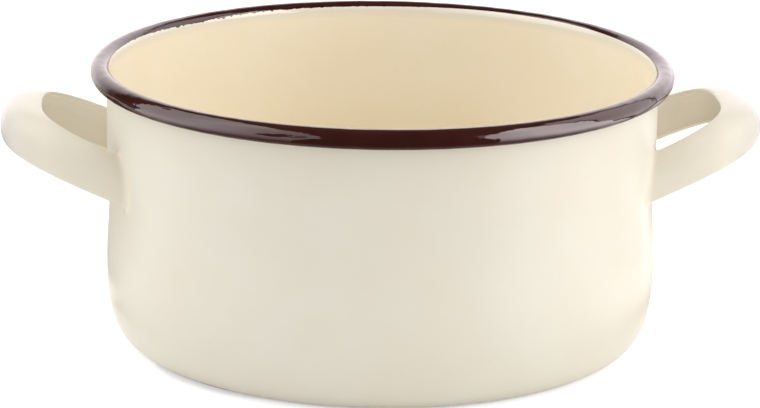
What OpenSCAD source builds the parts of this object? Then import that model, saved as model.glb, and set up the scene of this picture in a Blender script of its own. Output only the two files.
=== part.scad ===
// Enamelled steel saucepan with a rolled rim and two welded loop handles.
// The origin is the middle of the underside, +Z points up and the handles lie along X.

/* [Pan] */
// Diameter over the rolled rim
rim_d = 240; // [200:1:300]
// Height from the table to the top of the rim
pan_h = 116; // [100:1:180]
// Diameter of the rolled bead at the rim, over its enamel
bead_d = 8; // [6:0.1:10]
// Height below the rim of the straight neck that a lid fits into
neck_h = 30; // [20:1:40]
// How far below the rim the wall is narrowest
waist_drop = 52; // [45:1:60]
// How far the waist lies inside the neck
waist_in = 0.8; // [0:0.1:2]
// How far the belly, just above the heel, stands outside the neck
belly_out = 0.5; // [0:0.1:3]

/* [Base] */
// Height of the rounded heel between the underside and the wall
heel_h = 32; // [20:1:38]
// How far the heel curves in from the belly to the ring that the pan stands on
heel_w = 15; // [8:1:26]
// Squareness of the heel, where 2 is an ellipse
heel_power = 2.6; // [2:0.1:4]
// Width of the flat ring that the pan stands on
foot_ring_w = 5; // [3:0.5:12]
// How far the middle of the underside is raised clear of the table
base_rise = 1.2; // [0.5:0.1:3]
// Width of the slope between the ring and the raised middle
base_slope_w = 8; // [4:0.5:20]

/* [Sheet and enamel] */
// Thickness of the drawn steel
steel_t = 0.8; // [0.5:0.05:1.2]
// Thickness of each enamel coat
coat_t = 0.35; // [0.2:0.05:0.5]
// Gap between the rolled edge of the steel and the wall
curl_gap = 0.25; // [0.1:0.05:0.4]

/* [Handles] */
// Height of the handle's middle line at the wall, measured down from the rim
handle_drop = 38.5; // [32:0.5:44]
// Upward tilt of the loop, in degrees
handle_tilt = 23.5; // [5:0.5:35]
// How far the loop reaches out of the wall, along its tilt
handle_reach = 45.6; // [36:0.2:60]
// Width over the two arms where the bow begins
handle_w = 81.4; // [70:0.2:96]
// How much narrower the loop would be at its tip than at the wall, from the splay of its arms
handle_splay = 6; // [0:0.5:12]
// Squareness of the bow, where 2 is an ellipse
bow_power = 2.8; // [2.2:0.1:3.6]
// Thickness of the pressed strap
strap_t = 1.2; // [0.8:0.1:1.6]
// Height of the strap's section
strap_h = 18; // [14:0.2:24]
// How far the strap's top edge leans into the loop at the tip
tip_lean = 12.8; // [6:0.2:15]
// How far the strap's top edge leans into the loop at the arms
arm_lean = 5.6; // [2:0.2:8]
// How far the strap's bottom edge leans into the loop at the tip
tip_tuck = 3.9; // [2:0.2:7]
// How far the strap's bottom edge leans into the loop at the arms
arm_tuck = 2.6; // [2:0.2:5]

/* [Feet and welds] */
// Height of the foot turned in at each end of a strap
foot_h = 12; // [9:0.5:13]
// Length of that foot along the wall
foot_l = 13; // [10:0.5:18]
// Diameter of a weld nugget
weld_d = 4.4; // [3:0.2:5]
// Distance between the two nuggets of a foot
weld_pitch = 6; // [5.2:0.2:7]

/* [Hidden] */
$fn = 96;
ivory = [0.93, 0.91, 0.84];
cream = [0.93, 0.87, 0.74];
brown = [0.24, 0.13, 0.11];
ground = [0.13, 0.13, 0.14];
steel = [0.62, 0.63, 0.65];

// The rolled bead: the centre of its section, and the radii of its enamel and of its steel
rim_r = rim_d / 2;
bead_r = bead_d / 2;
bead_x = rim_r - bead_r;
bead_z = pan_h - bead_r;
curl_r = bead_r - coat_t;
curl_bore_r = curl_r - steel_t;

// The wall. Every radius is that of the outer enamel's surface.
wall_t = steel_t + 2 * coat_t;
neck_r = bead_x - bead_r + wall_t;
waist_r = neck_r - waist_in;
belly_r = neck_r + belly_out;
base_r = belly_r - heel_w;
ring_in_r = base_r - foot_ring_w;
neck_z = pan_h - neck_h;
waist_z = pan_h - waist_drop;

// Counts of steps along each stretch of the profile
slope_steps = 6;
heel_steps = 14;
wall_steps = 8;
bead_step = 9;

// Angles round the bead, from outwards through the top: 180 faces the pan's axis.
// The brown band begins inside the pan, past the top, and ends against the wall's own coat.
band_start = 152;
coat_line = curl_bore_r - coat_t;
band_end = acos(coat_line / bead_r) - 180;
band_end_in = acos(coat_line / curl_r) - 180;
curl_end = acos((curl_bore_r - curl_gap) / curl_r) - 180;
// Where the wall's own coat stops, just under the rolled edge
coat_top_z = bead_z - curl_r * sin(-band_end_in);

// A cosine ease from 0 to 1
function ease(t) = (1 - cos(180 * t)) / 2;
function mix(a, b, t) = a + (b - a) * t;
function unit(v) = v / norm(v);

// A row of the outer profile is [radius, height, outward normal's radial part, its upward part].
// The underside is level in the middle, eases down to the foot ring and is level there.
function base_rows() = concat(
    [[0, base_rise, 0, -1]],
    [for (i = [0 : slope_steps])
        let (t = i / slope_steps,
             n = unit([-90 * PI / 180 * sin(180 * t) * base_rise / base_slope_w, -1]))
        [ring_in_r - base_slope_w * (1 - t), base_rise * (1 - ease(t)), n[0], n[1]]],
    [[base_r, 0, 0, -1]]);

// The heel is a quarter of a superellipse.
function heel_rows() = [for (i = [1 : heel_steps])
    let (a = 90 * i / heel_steps,
         x = pow(sin(a), 2 / heel_power), y = pow(cos(a), 2 / heel_power),
         n = unit([pow(x, heel_power - 1) / heel_w, -pow(y, heel_power - 1) / heel_h]))
    [base_r + heel_w * x, heel_h * (1 - y), n[0], n[1]]];

// A stretch of wall that eases from one radius and height to another
function wall_rows(r0, z0, r1, z1) = [for (i = [1 : wall_steps])
    let (t = i / wall_steps,
         n = unit([z1 - z0, -(r1 - r0) * PI / 2 * sin(180 * t)]))
    [mix(r0, r1, ease(t)), mix(z0, z1, t), n[0], n[1]]];

// The belly, the waist and the foot of the straight neck
wall = concat(wall_rows(belly_r, heel_h, waist_r, waist_z), wall_rows(waist_r, waist_z, neck_r, neck_z));
side = concat(heel_rows(), wall);
profile = concat(base_rows(), side);

// The profile moved along its own normals: outwards for a positive distance
function shifted(rows, by) = [for (p = rows) [p[0] + by * p[2], p[1] + by * p[3]]];
function backwards(list) = [for (i = [len(list) - 1 : -1 : 0]) list[i]];

// Points along an arc round the bead's centre, from one angle to just before another
function bead_point(r, a) = [bead_x + r * cos(a), bead_z + r * sin(a)];
function bead_arc(r, from, to) =
    let (steps = ceil(abs(to - from) / bead_step))
    [for (i = [0 : steps - 1]) bead_point(r, mix(from, to, i / steps))];

// The full turn of the steel's outer face, with a corner at each end of the brown band
curl_face = concat(bead_arc(curl_r, 180, band_start), bead_arc(curl_r, band_start, band_end_in),
    bead_arc(curl_r, band_end_in, curl_end), [bead_point(curl_r, curl_end)]);

// The wall between two depths under the outer enamel's surface, as a ring round the axis
module side_shell(rows, outer, inner, top_z) {
    rotate_extrude() polygon(concat(
        shifted(rows, outer), [[neck_r + outer, top_z], [neck_r + inner, top_z]],
        backwards(shifted(rows, inner))));
}

// The whole space inside the outer enamel's surface, up to the bead's centre
module pan_space() {
    rotate_extrude() polygon(concat(
        shifted(profile, 0), [[neck_r, bead_z], [0, bead_z]]));
}

module steel_body() {
    color(steel) rotate_extrude() polygon(concat(
        shifted(profile, -coat_t), bead_arc(curl_bore_r, 180, curl_end),
        [bead_point(curl_bore_r, curl_end)],
        backwards(curl_face), backwards(shifted(profile, -coat_t - steel_t))));
}

module inner_enamel() {
    color(cream) rotate_extrude() polygon(concat(
        shifted(profile, -coat_t - steel_t), bead_arc(curl_r, 180, band_start),
        [bead_point(curl_r, band_start)], bead_arc(bead_r, band_start, 180),
        [bead_point(bead_r, 180)], backwards(shifted(profile, -wall_t))));
}

module rim_enamel() {
    color(brown) rotate_extrude() polygon(concat(
        bead_arc(bead_r, band_start, band_end), [bead_point(bead_r, band_end)],
        [bead_point(curl_r, band_end_in)], backwards(bead_arc(curl_r, band_start, band_end_in))));
}

module outer_enamel() {
    color(ivory) difference() {
        side_shell(concat([[base_r, 0, 0, -1]], side), 0, -coat_t, coat_top_z);
        for (turn = [0, 180]) rotate(turn) weld_pins(coat_t);
    }
}

module base_enamel() {
    rows = base_rows();
    color(ground) rotate_extrude() polygon(concat(
        shifted(rows, 0), backwards(shifted(rows, -coat_t))));
}

// The handle's own frame: u runs out along the loop's tilt, v along Y and w square to the loop
function loop_point(u, v, w) = [neck_r + u * cos(handle_tilt) - w * sin(handle_tilt), v,
                                pan_h - handle_drop + u * sin(handle_tilt) + w * cos(handle_tilt)];

// The strap's middle line in the loop's plane, from the arm inside the wall round to the tip:
// a straight arm, and then a quarter of a superellipse that narrows with the splay
half_w = handle_w / 2;
arm_splay = handle_splay / 2;
half_h = strap_h / 2;
bow_steps = 15;
arm_sag = neck_r - sqrt(neck_r * neck_r - half_w * half_w);
arm_start = -(arm_sag + half_h * sin(handle_tilt) + 3 * strap_t) / cos(handle_tilt);
function arm_v(u) = half_w - arm_splay * u / handle_reach;
function bow_uv(a) = let (u = handle_reach * pow(cos(a), 2 / bow_power))
    [u, (half_w - arm_splay) * pow(sin(a), 2 / bow_power) + arm_splay * (1 - u / handle_reach)];
bow = [for (i = [0 : bow_steps]) bow_uv(90 * (1 - i / bow_steps))];
half_line = concat([[arm_start, arm_v(arm_start)], [arm_start / 2, arm_v(arm_start / 2)]], bow);
middle_line = concat(half_line, [for (i = [len(half_line) - 2 : -1 : 0]) [half_line[i][0], -half_line[i][1]]]);

// The outward normal of the middle line at one of its points, from its two neighbours
function line_normal(i) =
    let (last = len(middle_line) - 1,
         d = unit(middle_line[min(i + 1, last)] - middle_line[max(i - 1, 0)]))
    [-d[1], d[0]];

// The section is a crown: two quarter-ellipse arcs that lean in to the top and bottom edges.
// Its points are [inward lean, height, normal out, normal up], from the bottom edge to the top.
crown_steps = 4;
crown_turn = 75;
function crown_arc(lean, up, a) =
    let (x = lean / (1 - cos(crown_turn)), y = half_h / sin(crown_turn),
         n = unit([cos(a) / x, sin(a) / y]))
    [x * (1 - cos(a)), up * y * sin(a), n[0], up * n[1]];
function crown(lean, tuck) = concat(
    [for (i = [crown_steps : -1 : 1]) crown_arc(tuck, -1, crown_turn * i / crown_steps)],
    [for (i = [0 : crown_steps]) crown_arc(lean, 1, crown_turn * i / crown_steps)]);

// The closed section at a share of the reach, grown all round by a coat.
// The lean grows from the arms' to the tip's as a power of that share.
lean_power = 1.7;
function section(share, grow) =
    let (k = pow(max(share, 0), lean_power),
         c = crown(mix(arm_lean, tip_lean, k), mix(arm_tuck, tip_tuck, k)), last = len(c) - 1)
    concat(
        [for (i = [0 : last]) section_point(c[i], grow, grow, i, last)],
        [for (i = [last : -1 : 0]) section_point(c[i], -strap_t - grow, grow, i, last)]);
// A point of the crown moved out by a depth, and past the strap's edge at the two ends
function section_point(p, depth, past, i, last) =
    let (end = i == 0 ? -1 : i == last ? 1 : 0)
    [-p[0] + depth * p[2] - end * past * p[3], p[1] + depth * p[3] + end * past * p[2]];

// One ring of points for each point of the middle line
function ring(i, grow) =
    let (m = middle_line[i], n = line_normal(i))
    [for (p = section(m[0] / handle_reach, grow)) loop_point(m[0] + p[0] * n[0], m[1] + p[0] * n[1], p[1])];

// Triangles between rings, and over the two ends
function skin_faces(rings, size, first) = [for (i = [0 : rings - 2], j = [0 : size - 1], half = [0, 1])
    let (a = first + i * size + j, b = first + i * size + (j + 1) % size)
    half == 0 ? [a, b + size, b] : [a, a + size, b + size]];
function flipped(faces) = [for (f = faces) [f[0], f[2], f[1]]];
// A strap's end, as a strip between its outer and inner rows of points
function strip_faces(size, first) = [for (j = [0 : size / 2 - 2], half = [0, 1])
    let (a = first + j, b = first + size - 1 - j)
    half == 0 ? [a, a + 1, b] : [a + 1, b - 1, b]];
// A coat's end, as a frame between its outer ring and the strap's ring
function frame_faces(size, outer, inner) = [for (j = [0 : size - 1], half = [0, 1])
    let (k = (j + 1) % size)
    half == 0 ? [outer + j, outer + k, inner + j] : [outer + k, inner + k, inner + j]];

rings = len(middle_line);
ring_size = len(section(0, 0));

module strap_sweep() {
    last = (rings - 1) * ring_size;
    polyhedron([for (i = [0 : rings - 1]) each ring(i, 0)],
        concat(skin_faces(rings, ring_size, 0),
            strip_faces(ring_size, 0), flipped(strip_faces(ring_size, last))));
}

module coat_sweep() {
    total = rings * ring_size;
    last = total - ring_size;
    polyhedron(concat([for (i = [0 : rings - 1]) each ring(i, coat_t)],
                      [for (i = [0 : rings - 1]) each ring(i, 0)]),
        concat(skin_faces(rings, ring_size, 0), flipped(skin_faces(rings, ring_size, total)),
            frame_faces(ring_size, 0, total), flipped(frame_faces(ring_size, last, total + last))));
}

// The hollow of an arm's gutter, as a straight bar that runs out through the wall.
// It starts at a depth under the crown, and reaches a distance into the loop.
bar_steps = 4;
function bar_section(depth, reach, height) =
    let (side_points = [for (i = [0 : bar_steps])
        let (w = height * (i / bar_steps - 1 / 2),
             c = crown_arc(w < 0 ? arm_tuck : arm_lean, sign(w), asin(abs(w) * sin(crown_turn) / half_h)))
        [-c[0] - depth * c[2], w - depth * c[3]]])
    concat(side_points, [[-reach, side_points[bar_steps][1]], [-reach, side_points[0][1]]]);
function bar_ring(u, depth, reach, height) =
    let (n = unit([arm_splay / handle_reach, 1]))
    [for (p = bar_section(depth, reach, height)) loop_point(u + p[0] * n[0], arm_v(u) + p[0] * n[1], p[1])];
bar_size = bar_steps + 3;
module foot_bar(depth, reach, height) {
    polyhedron(concat(bar_ring(arm_start, depth, reach, height), bar_ring(foot_l, depth, reach, height)),
        concat(skin_faces(2, bar_size, 0),
            [for (j = [1 : bar_size - 2]) [0, j, j + 1]],
            [for (j = [1 : bar_size - 2]) [bar_size, bar_size + j + 1, bar_size + j]]));
}

// Both feet of a handle: what the two bars share with a shell laid on the wall, or sunk into it
module feet(depth, grow, sink) {
    intersection() {
        side_shell(wall, strap_t + grow, -sink, bead_z);
        for (turn = [0, 1]) mirror([0, turn, 0])
            foot_bar(depth, foot_l + grow, foot_h + 2 * grow);
    }
}

// Pins along the four welds of the handle on the +X side, through the wall's coat
weld_in = foot_l / 2 + strap_t / 2;
weld_v = half_w - weld_in;
weld_drop = (neck_r - sqrt(neck_r * neck_r - weld_v * weld_v)) * tan(handle_tilt);
module weld_pins(run) {
    for (v = [-1, 1], w = [-1, 1])
        rotate(v * asin(weld_v / neck_r))
            translate([waist_r - coat_t - run, 0,
                       pan_h - handle_drop - weld_drop + w * weld_pitch / 2 / cos(handle_tilt)])
                rotate([0, 90, 0]) cylinder(d = weld_d, h = 2 * run + coat_t + waist_in);
}

module handle() {
    color(steel) union() {
        difference() {
            strap_sweep();
            pan_space();
        }
        feet(strap_t / 2, 0, 0);
    }
}

module handle_enamel() {
    color(ivory) difference() {
        union() {
            difference() {
                coat_sweep();
                pan_space();
            }
            feet(strap_t + coat_t / 2, coat_t, 0);
        }
        feet(strap_t / 2, 0, coat_t);
    }
}

module handle_welds() {
    color(steel) intersection() {
        side_shell(wall, 0, -coat_t, bead_z);
        weld_pins(coat_t);
    }
}

module left_handle() rotate(180) handle();
module right_handle() handle();
module left_handle_enamel() rotate(180) handle_enamel();
module right_handle_enamel() handle_enamel();
module left_handle_welds() rotate(180) handle_welds();
module right_handle_welds() handle_welds();

steel_body();
inner_enamel();
outer_enamel();
rim_enamel();
base_enamel();
left_handle();
right_handle();
left_handle_enamel();
right_handle_enamel();
left_handle_welds();
right_handle_welds();
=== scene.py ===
"""Looks of an enamelled steel saucepan, built round its CAD model.

Every coat of enamel is a closed surface worked out from the pan's own sizes, in metres, in the
CAD model's frame: the origin is the middle of the underside, +Z is up, the handles lie along X.
"""

import math

import bpy
import numpy as np
from bpy.props import FloatProperty, FloatVectorProperty, IntProperty, PointerProperty
from mathutils import Matrix, Vector


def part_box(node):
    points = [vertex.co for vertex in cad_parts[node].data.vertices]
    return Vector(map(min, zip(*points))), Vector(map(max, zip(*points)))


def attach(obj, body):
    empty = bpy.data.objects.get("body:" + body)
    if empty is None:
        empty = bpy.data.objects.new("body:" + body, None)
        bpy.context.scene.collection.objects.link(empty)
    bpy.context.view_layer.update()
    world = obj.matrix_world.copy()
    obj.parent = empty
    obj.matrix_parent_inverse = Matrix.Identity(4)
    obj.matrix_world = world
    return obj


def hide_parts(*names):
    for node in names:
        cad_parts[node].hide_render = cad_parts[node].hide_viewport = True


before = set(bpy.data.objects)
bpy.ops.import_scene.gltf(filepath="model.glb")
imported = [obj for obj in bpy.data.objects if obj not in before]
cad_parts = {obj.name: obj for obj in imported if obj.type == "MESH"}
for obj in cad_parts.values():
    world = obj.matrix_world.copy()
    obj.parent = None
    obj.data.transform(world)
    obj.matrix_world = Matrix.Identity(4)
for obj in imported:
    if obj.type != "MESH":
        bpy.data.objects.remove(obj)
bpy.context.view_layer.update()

bl_info = {
    "name": "Enamelled saucepan",
    "version": (1, 0, 0),
    "blender": (4, 5, 0),
    "location": "3D View > Sidebar > Saucepan",
    "description": "Enamel coats, floor, lights and camera for a two-handled enamelled saucepan",
    "category": "Add Mesh",
}

BODY = "root"
rim_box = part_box("rim_enamel")


def srgb(*levels):
    """Linear colour of three 8-bit screen levels, by the standard screen curve."""
    share = np.array(levels) / 255
    curve = ((share + 0.055) / 1.055) ** 2.4
    return tuple(float(c) for c in np.where(share <= 0.04045, share / 12.92, curve))


def length(name, description, default):
    """A size in metres."""
    return FloatProperty(name=name, description=description, default=default, precision=5, unit="LENGTH")


def angle(name, description, degrees):
    """An angle, given in degrees and kept in radians."""
    return FloatProperty(name=name, description=description, default=math.radians(degrees), unit="ROTATION")


def number(name, description, default):
    """A plain number, such as an exponent or a strength."""
    return FloatProperty(name=name, description=description, default=default, precision=4)


def count(name, description, default):
    """A number of steps or copies."""
    return IntProperty(name=name, description=description, default=default, min=3)


def colour(name, description, *levels):
    """A colour, given as three 8-bit screen levels and kept linear."""
    return FloatVectorProperty(name=name, description=description, default=srgb(*levels), subtype="COLOR",
                               min=0, max=1)


class PanSizes(bpy.types.PropertyGroup):
    """Sizes of the pan's wall, base and rolled rim"""

    rim_d: length("Rim diameter", "Diameter over the rolled rim", 2 * rim_box[1].y)
    pan_h: length("Height", "Height from the table to the top of the rim", rim_box[1].z)
    bead_d: length("Bead", "Diameter of the rolled bead, over its enamel", 0.008)
    neck_h: length("Neck", "Height below the rim of the straight neck", 0.030)
    waist_drop: length("Waist drop", "How far below the rim the wall is narrowest", 0.052)
    waist_in: length("Waist", "How far the waist lies inside the neck", 0.0008)
    belly_out: length("Belly", "How far the belly stands outside the neck", 0.0005)
    heel_h: length("Heel height", "Height of the rounded heel", 0.032)
    heel_w: length("Heel width", "How far the heel curves in from the belly to the foot ring", 0.015)
    heel_power: number("Heel squareness", "Exponent of the heel's superellipse", 2.6)
    foot_ring_w: length("Foot ring", "Width of the flat ring that the pan stands on", 0.005)
    base_rise: length("Base rise", "How far the middle of the underside is raised", 0.0012)
    base_slope_w: length("Base slope", "Width of the slope inside the foot ring", 0.008)
    steel_t: length("Steel", "Thickness of the drawn steel", 0.0008)
    coat_t: length("Coat", "Thickness of each enamel coat", 0.00035)
    fillet_r: length("Rim fillet", "Radius of the enamel that fills the corner under the bead", 0.0004)
    around: count("Facets around", "Steps round a coat", 360)
    around_rim: count("Rim facets", "Steps round the rim band, whose edge is ragged", 1440)


class BandSizes(bpy.types.PropertyGroup):
    """Sizes of the brown band on the bead. Angles run round the bead, from outwards over the top"""

    inner_edge: angle("Inner edge", "Where the band ends inside the pan, on average", 149.5)
    inner_under: angle("Covered edge", "Where the cream coat ends under the band", 118)
    outer_edge: angle("Outer edge", "Where the band ends under the bead, on average", -114)
    outer_under: angle("Covered outer edge", "Where the ivory coat ends under the band", -105)
    lap_t: length("Lap", "How much thicker the band is than the coats that it laps", 0.00003)
    outer_sway: angle("Outer sway", "Slow wander of the band's outer edge", 1.3)
    inner_limit: angle("Inner limit", "Farthest down the inside that the band reaches", 177)
    sway: angle("Sway", "Slow wander of the band's inner edge", 13)
    ragged: angle("Raggedness", "Depth of the teeth in the band's inner edge", 12)
    relief_fade: angle("Relief fade", "Stretch in which the waves fade beside a covered coat", 12)
    relief: length("Relief", "Depth of the waves in the band's surface", 0.00007)


class HandleSizes(bpy.types.PropertyGroup):
    """Sizes of the loop handles"""

    drop: length("Drop", "Height of the handle's middle line at the wall, below the rim", 0.0385)
    tilt: angle("Tilt", "Upward tilt of the loop", 23.5)
    reach: length("Reach", "How far the loop reaches out, along its tilt", 0.0456)
    width: length("Width", "Width over the two arms where the bow begins", 0.0814)
    splay: length("Splay", "How much the arms close in between the wall and the tip", 0.006)
    bow_power: number("Bow squareness", "Exponent of the bow's superellipse", 2.8)
    strap_t: length("Strap", "Thickness of the pressed strap", 0.0012)
    strap_h: length("Strap height", "Height of the strap's section", 0.018)
    tip_lean: length("Tip lean", "How far the top edge leans into the loop at the tip", 0.0128)
    arm_lean: length("Arm lean", "How far the top edge leans into the loop at the arms", 0.0056)
    tip_tuck: length("Tip tuck", "How far the bottom edge leans into the loop at the tip", 0.0039)
    arm_tuck: length("Arm tuck", "How far the bottom edge leans into the loop at the arms", 0.0026)
    lean_power: number("Lean growth", "Power by which the lean grows towards the tip", 1.7)
    crown_turn: angle("Crown turn", "Turn of each half of the section's crown", 75)
    edge_over: length("Edge", "How far the rounded enamel stands past the strap's edge", 0.0003)
    fillet_l: length("Weld fillet", "Reach of the enamel that fills the corner at the wall", 0.0032)
    foot_h: length("Foot height", "Height of the foot turned in at each end of the strap", 0.012)
    foot_l: length("Foot length", "Length of that foot along the wall", 0.013)
    foot_edge: length("Foot edge", "Width of the enamel slope round a foot", 0.0022)
    sink: number("Sink", "How deep in the wall's coat the handle's coat ends, as a share of that coat", 0.6)


class EnamelLook(bpy.types.PropertyGroup):
    """Colours and finish of the enamel and of the bare steel, with painted shade on the handles' tips and on
    the bead's inner shoulder
    """

    ivory: colour("Ivory", "Outside of the pan and the handles", 236, 231, 216)
    ivory_blush: colour("Ivory blush", "Warm clouds in the ivory", 236, 228, 211)
    # The handles' ivory is a little warmer than the pan's: partly the enamel's own tone, partly painted warm
    # light thrown back from the pan's wall.
    handle: colour("Handle ivory", "Arms of the handles", 240, 232, 214)
    # Painted shade: the tips' greyer ivory dims the light that falls on the handles' tips.
    tip: colour("Tip ivory", "Handles' tips, where the coat is thinner and greyer", 221, 214, 205)
    tip_x: length("Tip", "How far from the axis the tips' colour is reached", 0.154)
    tip_fade: length("Tip fade", "Stretch in which the arms' colour turns into the tips'", 0.016)
    cream: colour("Cream", "Inside of the pan", 248, 239, 219)
    cream_blush: colour("Cream blush", "Warm clouds in the cream", 247, 236, 213)
    # Painted shade: the shoulder's greyer cream dims the light that falls on the bead's inner shoulder.
    shoulder: colour("Shoulder", "Greyer cream of the thin coat on the bead's inner shoulder", 233, 228, 213)
    shoulder_low: length("Shoulder foot", "Height where the cream starts to turn grey", rim_box[1].z - 0.007)
    shoulder_high: length("Shoulder top", "Height where the cream is all grey", rim_box[1].z - 0.003)
    brown: colour("Brown", "Band on the rim", 52, 24, 20)
    ground: colour("Ground coat", "Underside", 38, 38, 42)
    steel: colour("Steel", "Bare steel under the enamel", 160, 162, 166)
    # The five sizes below place a thin dark line, in the ground coat's colour, along a stretch of the foot.
    foot_line_turn: angle("Thin stretch", "Direction of the foot's stretch where the cover coat is thin", -48)
    foot_line_half: angle("Thin stretch's half", "Half of the angle that this stretch spans", 18)
    foot_line_low: length("Thin edge", "Height of the bare edge at the ends of that stretch", 0.0006)
    foot_line_high: length("Thin edge's top", "Height of the bare edge at the middle of that stretch", 0.0021)
    foot_line_fray: length("Thin edge's fray", "How far the bare edge strays from its line", 0.0001)
    peel: length("Peel", "Depth of the long waves in the gloss", 0.00012)


class StageLook(bpy.types.PropertyGroup):
    """Camera, floor and lights"""

    camera_distance: length("Camera distance", "From the camera to the point that it aims at", 1.300)
    aim_height: length("Aim height", "Height on the pan's axis of the point that the camera aims at", 0.0578)
    camera_turn: angle("Camera turn", "How far left of the pan's front the camera stands", 4.4)
    camera_rise: angle("Camera rise", "Elevation of the camera", 15.588)
    camera_roll: angle("Camera roll", "Roll of the camera", 0.762)
    camera_lens: number("Lens", "Focal length in millimetres, on a sensor 36 mm wide", 147.71)
    floor_r: length("Floor radius", "Radius of the round floor", 9.0)
    floor_tone: number("Floor tone", "Share of the light that the floor gives back", 0.82)
    floor_glow: number("Floor glow", "Light of its own that lifts the lit floor to the backdrop's white", 0.5)
    fill: number("Fill", "Strength of the even light from all sides", 0.312)
    panel_distance: length("Panel distance", "From the pan's axis to the standing panels of light", 1.4)
    card_height: length("Card height", "Height of the middle of the ball that the cards are bent to", 0.11)


class SaucepanSettings(bpy.types.PropertyGroup):
    """All the settings of the saucepan"""

    pan: PointerProperty(type=PanSizes)
    band: PointerProperty(type=BandSizes)
    handle: PointerProperty(type=HandleSizes)
    enamel: PointerProperty(type=EnamelLook)
    stage: PointerProperty(type=StageLook)


# Shapes

def ease(t):
    """A cosine ease from 0 to 1: half of one minus the cosine of a half turn's share."""
    return (1 - np.cos(np.pi * t)) / 2


def mix(a, b, t):
    """The value a share t of the way from a to b."""
    return a + (b - a) * t


def unit(vectors):
    """Vectors scaled to a length of 1."""
    return vectors / np.linalg.norm(vectors, axis=-1, keepdims=True)


def waves(turn, counts, seed):
    """A smooth wave round the pan: a mean of cosines with whole numbers of periods and seeded phases."""
    phases = np.random.default_rng(seed).uniform(0, 2 * np.pi, len(counts))
    total = sum(np.cos(n * turn + phase) for n, phase in zip(counts, phases))
    return total / math.sqrt(len(counts))


def bell(turn, middle, width):
    """A bell curve of the turn round the pan: 1 at the middle, and 1/e at the width to each side of it."""
    off = np.angle(np.exp(1j * (turn - math.radians(middle))))
    return np.exp(-((off / math.radians(width)) ** 2))


class PanShape:
    """Lines of the pan that several coats share, worked out from its sizes."""

    def __init__(self, pan):
        self.pan = pan
        self.bead_r = pan.bead_d / 2
        self.bead_x = pan.rim_d / 2 - self.bead_r
        self.bead_z = pan.pan_h - self.bead_r
        self.curl_r = self.bead_r - pan.coat_t
        self.wall_t = pan.steel_t + 2 * pan.coat_t
        self.neck_r = self.bead_x - self.bead_r + self.wall_t
        self.waist_r = self.neck_r - pan.waist_in
        self.belly_r = self.neck_r + pan.belly_out
        self.base_r = self.belly_r - pan.heel_w
        self.ring_in_r = self.base_r - pan.foot_ring_w
        self.waist_z = pan.pan_h - pan.waist_drop
        self.neck_z = pan.pan_h - pan.neck_h

    def underside(self, steps=16):
        """Level in the middle, a cosine ease down to the foot ring, and level there.

        A row is radius, height, and the outward normal's radial and upward parts."""
        pan = self.pan
        t = np.linspace(0, 1, steps)
        radius = self.ring_in_r - pan.base_slope_w * (1 - t)
        slope = -pan.base_rise * np.pi / 2 * np.sin(np.pi * t) / pan.base_slope_w
        normal = unit(np.stack([slope, -np.ones(steps)], -1))
        rows = np.column_stack([radius, pan.base_rise * (1 - ease(t)), normal])
        middle = np.linspace(0, radius[0], steps, endpoint=False)
        level = np.column_stack([middle, np.full(steps, pan.base_rise), np.zeros(steps), -np.ones(steps)])
        return np.vstack([level, rows, [[self.base_r, 0, 0, -1]]])

    def heel(self, steps=40):
        """A quarter of a superellipse from the foot ring up to the belly."""
        pan = self.pan
        turn = np.linspace(0, np.pi / 2, steps)
        x = np.sin(turn) ** (2 / pan.heel_power)
        y = np.abs(np.cos(turn)) ** (2 / pan.heel_power)
        power = pan.heel_power - 1
        normal = unit(np.stack([x ** power / pan.heel_w, -(y ** power) / pan.heel_h], -1))
        return np.column_stack([self.base_r + pan.heel_w * x, pan.heel_h * (1 - y), normal])

    def stretch(self, r0, z0, r1, z1, steps):
        """A stretch of wall that eases by a cosine from one radius and height to another."""
        t = np.linspace(0, 1, steps + 1)[1:]
        slope = (r1 - r0) * np.pi / 2 * np.sin(np.pi * t)
        normal = unit(np.stack([np.full(steps, z1 - z0), -slope], -1))
        return np.column_stack([mix(r0, r1, ease(t)), mix(z0, z1, t), normal])

    def wall(self):
        """The belly, the waist and the foot of the straight neck."""
        return np.vstack([
            self.stretch(self.belly_r, self.pan.heel_h, self.waist_r, self.waist_z, 16),
            self.stretch(self.waist_r, self.waist_z, self.neck_r, self.neck_z, 14),
        ])

    def neck(self, top_z, steps=10):
        """The straight neck, up to a height."""
        z = np.linspace(self.neck_z, top_z, steps + 1)[1:]
        return np.column_stack([np.full(steps, self.neck_r), z, np.ones(steps), np.zeros(steps)])

    def bead(self, turn, radius):
        """Points at angles round the bead's centre."""
        return np.stack([self.bead_x + radius * np.cos(turn), self.bead_z + radius * np.sin(turn)], -1)

    def wall_radius(self, height):
        """Radius of the outer enamel's surface at a height."""
        rows = np.vstack([self.heel(), self.wall(), self.neck(self.bead_z)])
        return np.interp(height, rows[:, 1], rows[:, 0])


def shifted(rows, by):
    """Profile points moved along their outward normals."""
    return rows[:, :2] + by * rows[:, 2:]


def turned(profile, around):
    """A profile of radius and height carried round the pan's axis, as a grid of points.

    The profile is one line for every turn, or one line for each of them."""
    turn = np.linspace(0, 2 * np.pi, around, endpoint=False)
    if profile.ndim == 2:
        profile = np.broadcast_to(profile[:, None], (len(profile), around, 2))
    return np.stack([profile[..., 0] * np.cos(turn), profile[..., 0] * np.sin(turn), profile[..., 1]], -1)


def grid_faces(rows, columns, first=0, wrap_rows=True):
    """Four-cornered faces of a grid whose columns close up, and whose rows close up if asked."""
    number_of = first + np.arange(rows * columns).reshape(rows, columns)
    low = number_of if wrap_rows else number_of[:-1]
    high = np.roll(number_of, -1, 0) if wrap_rows else number_of[1:]
    corners = [low, np.roll(low, -1, 1), np.roll(high, -1, 1), high]
    return np.stack(corners, -1).reshape(-1, 4)


def pole_faces(ring, pole):
    """Three-cornered faces from a closed ring of points to a single one."""
    return np.stack([ring, np.roll(ring, -1), np.full(len(ring), pole)], -1)


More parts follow.
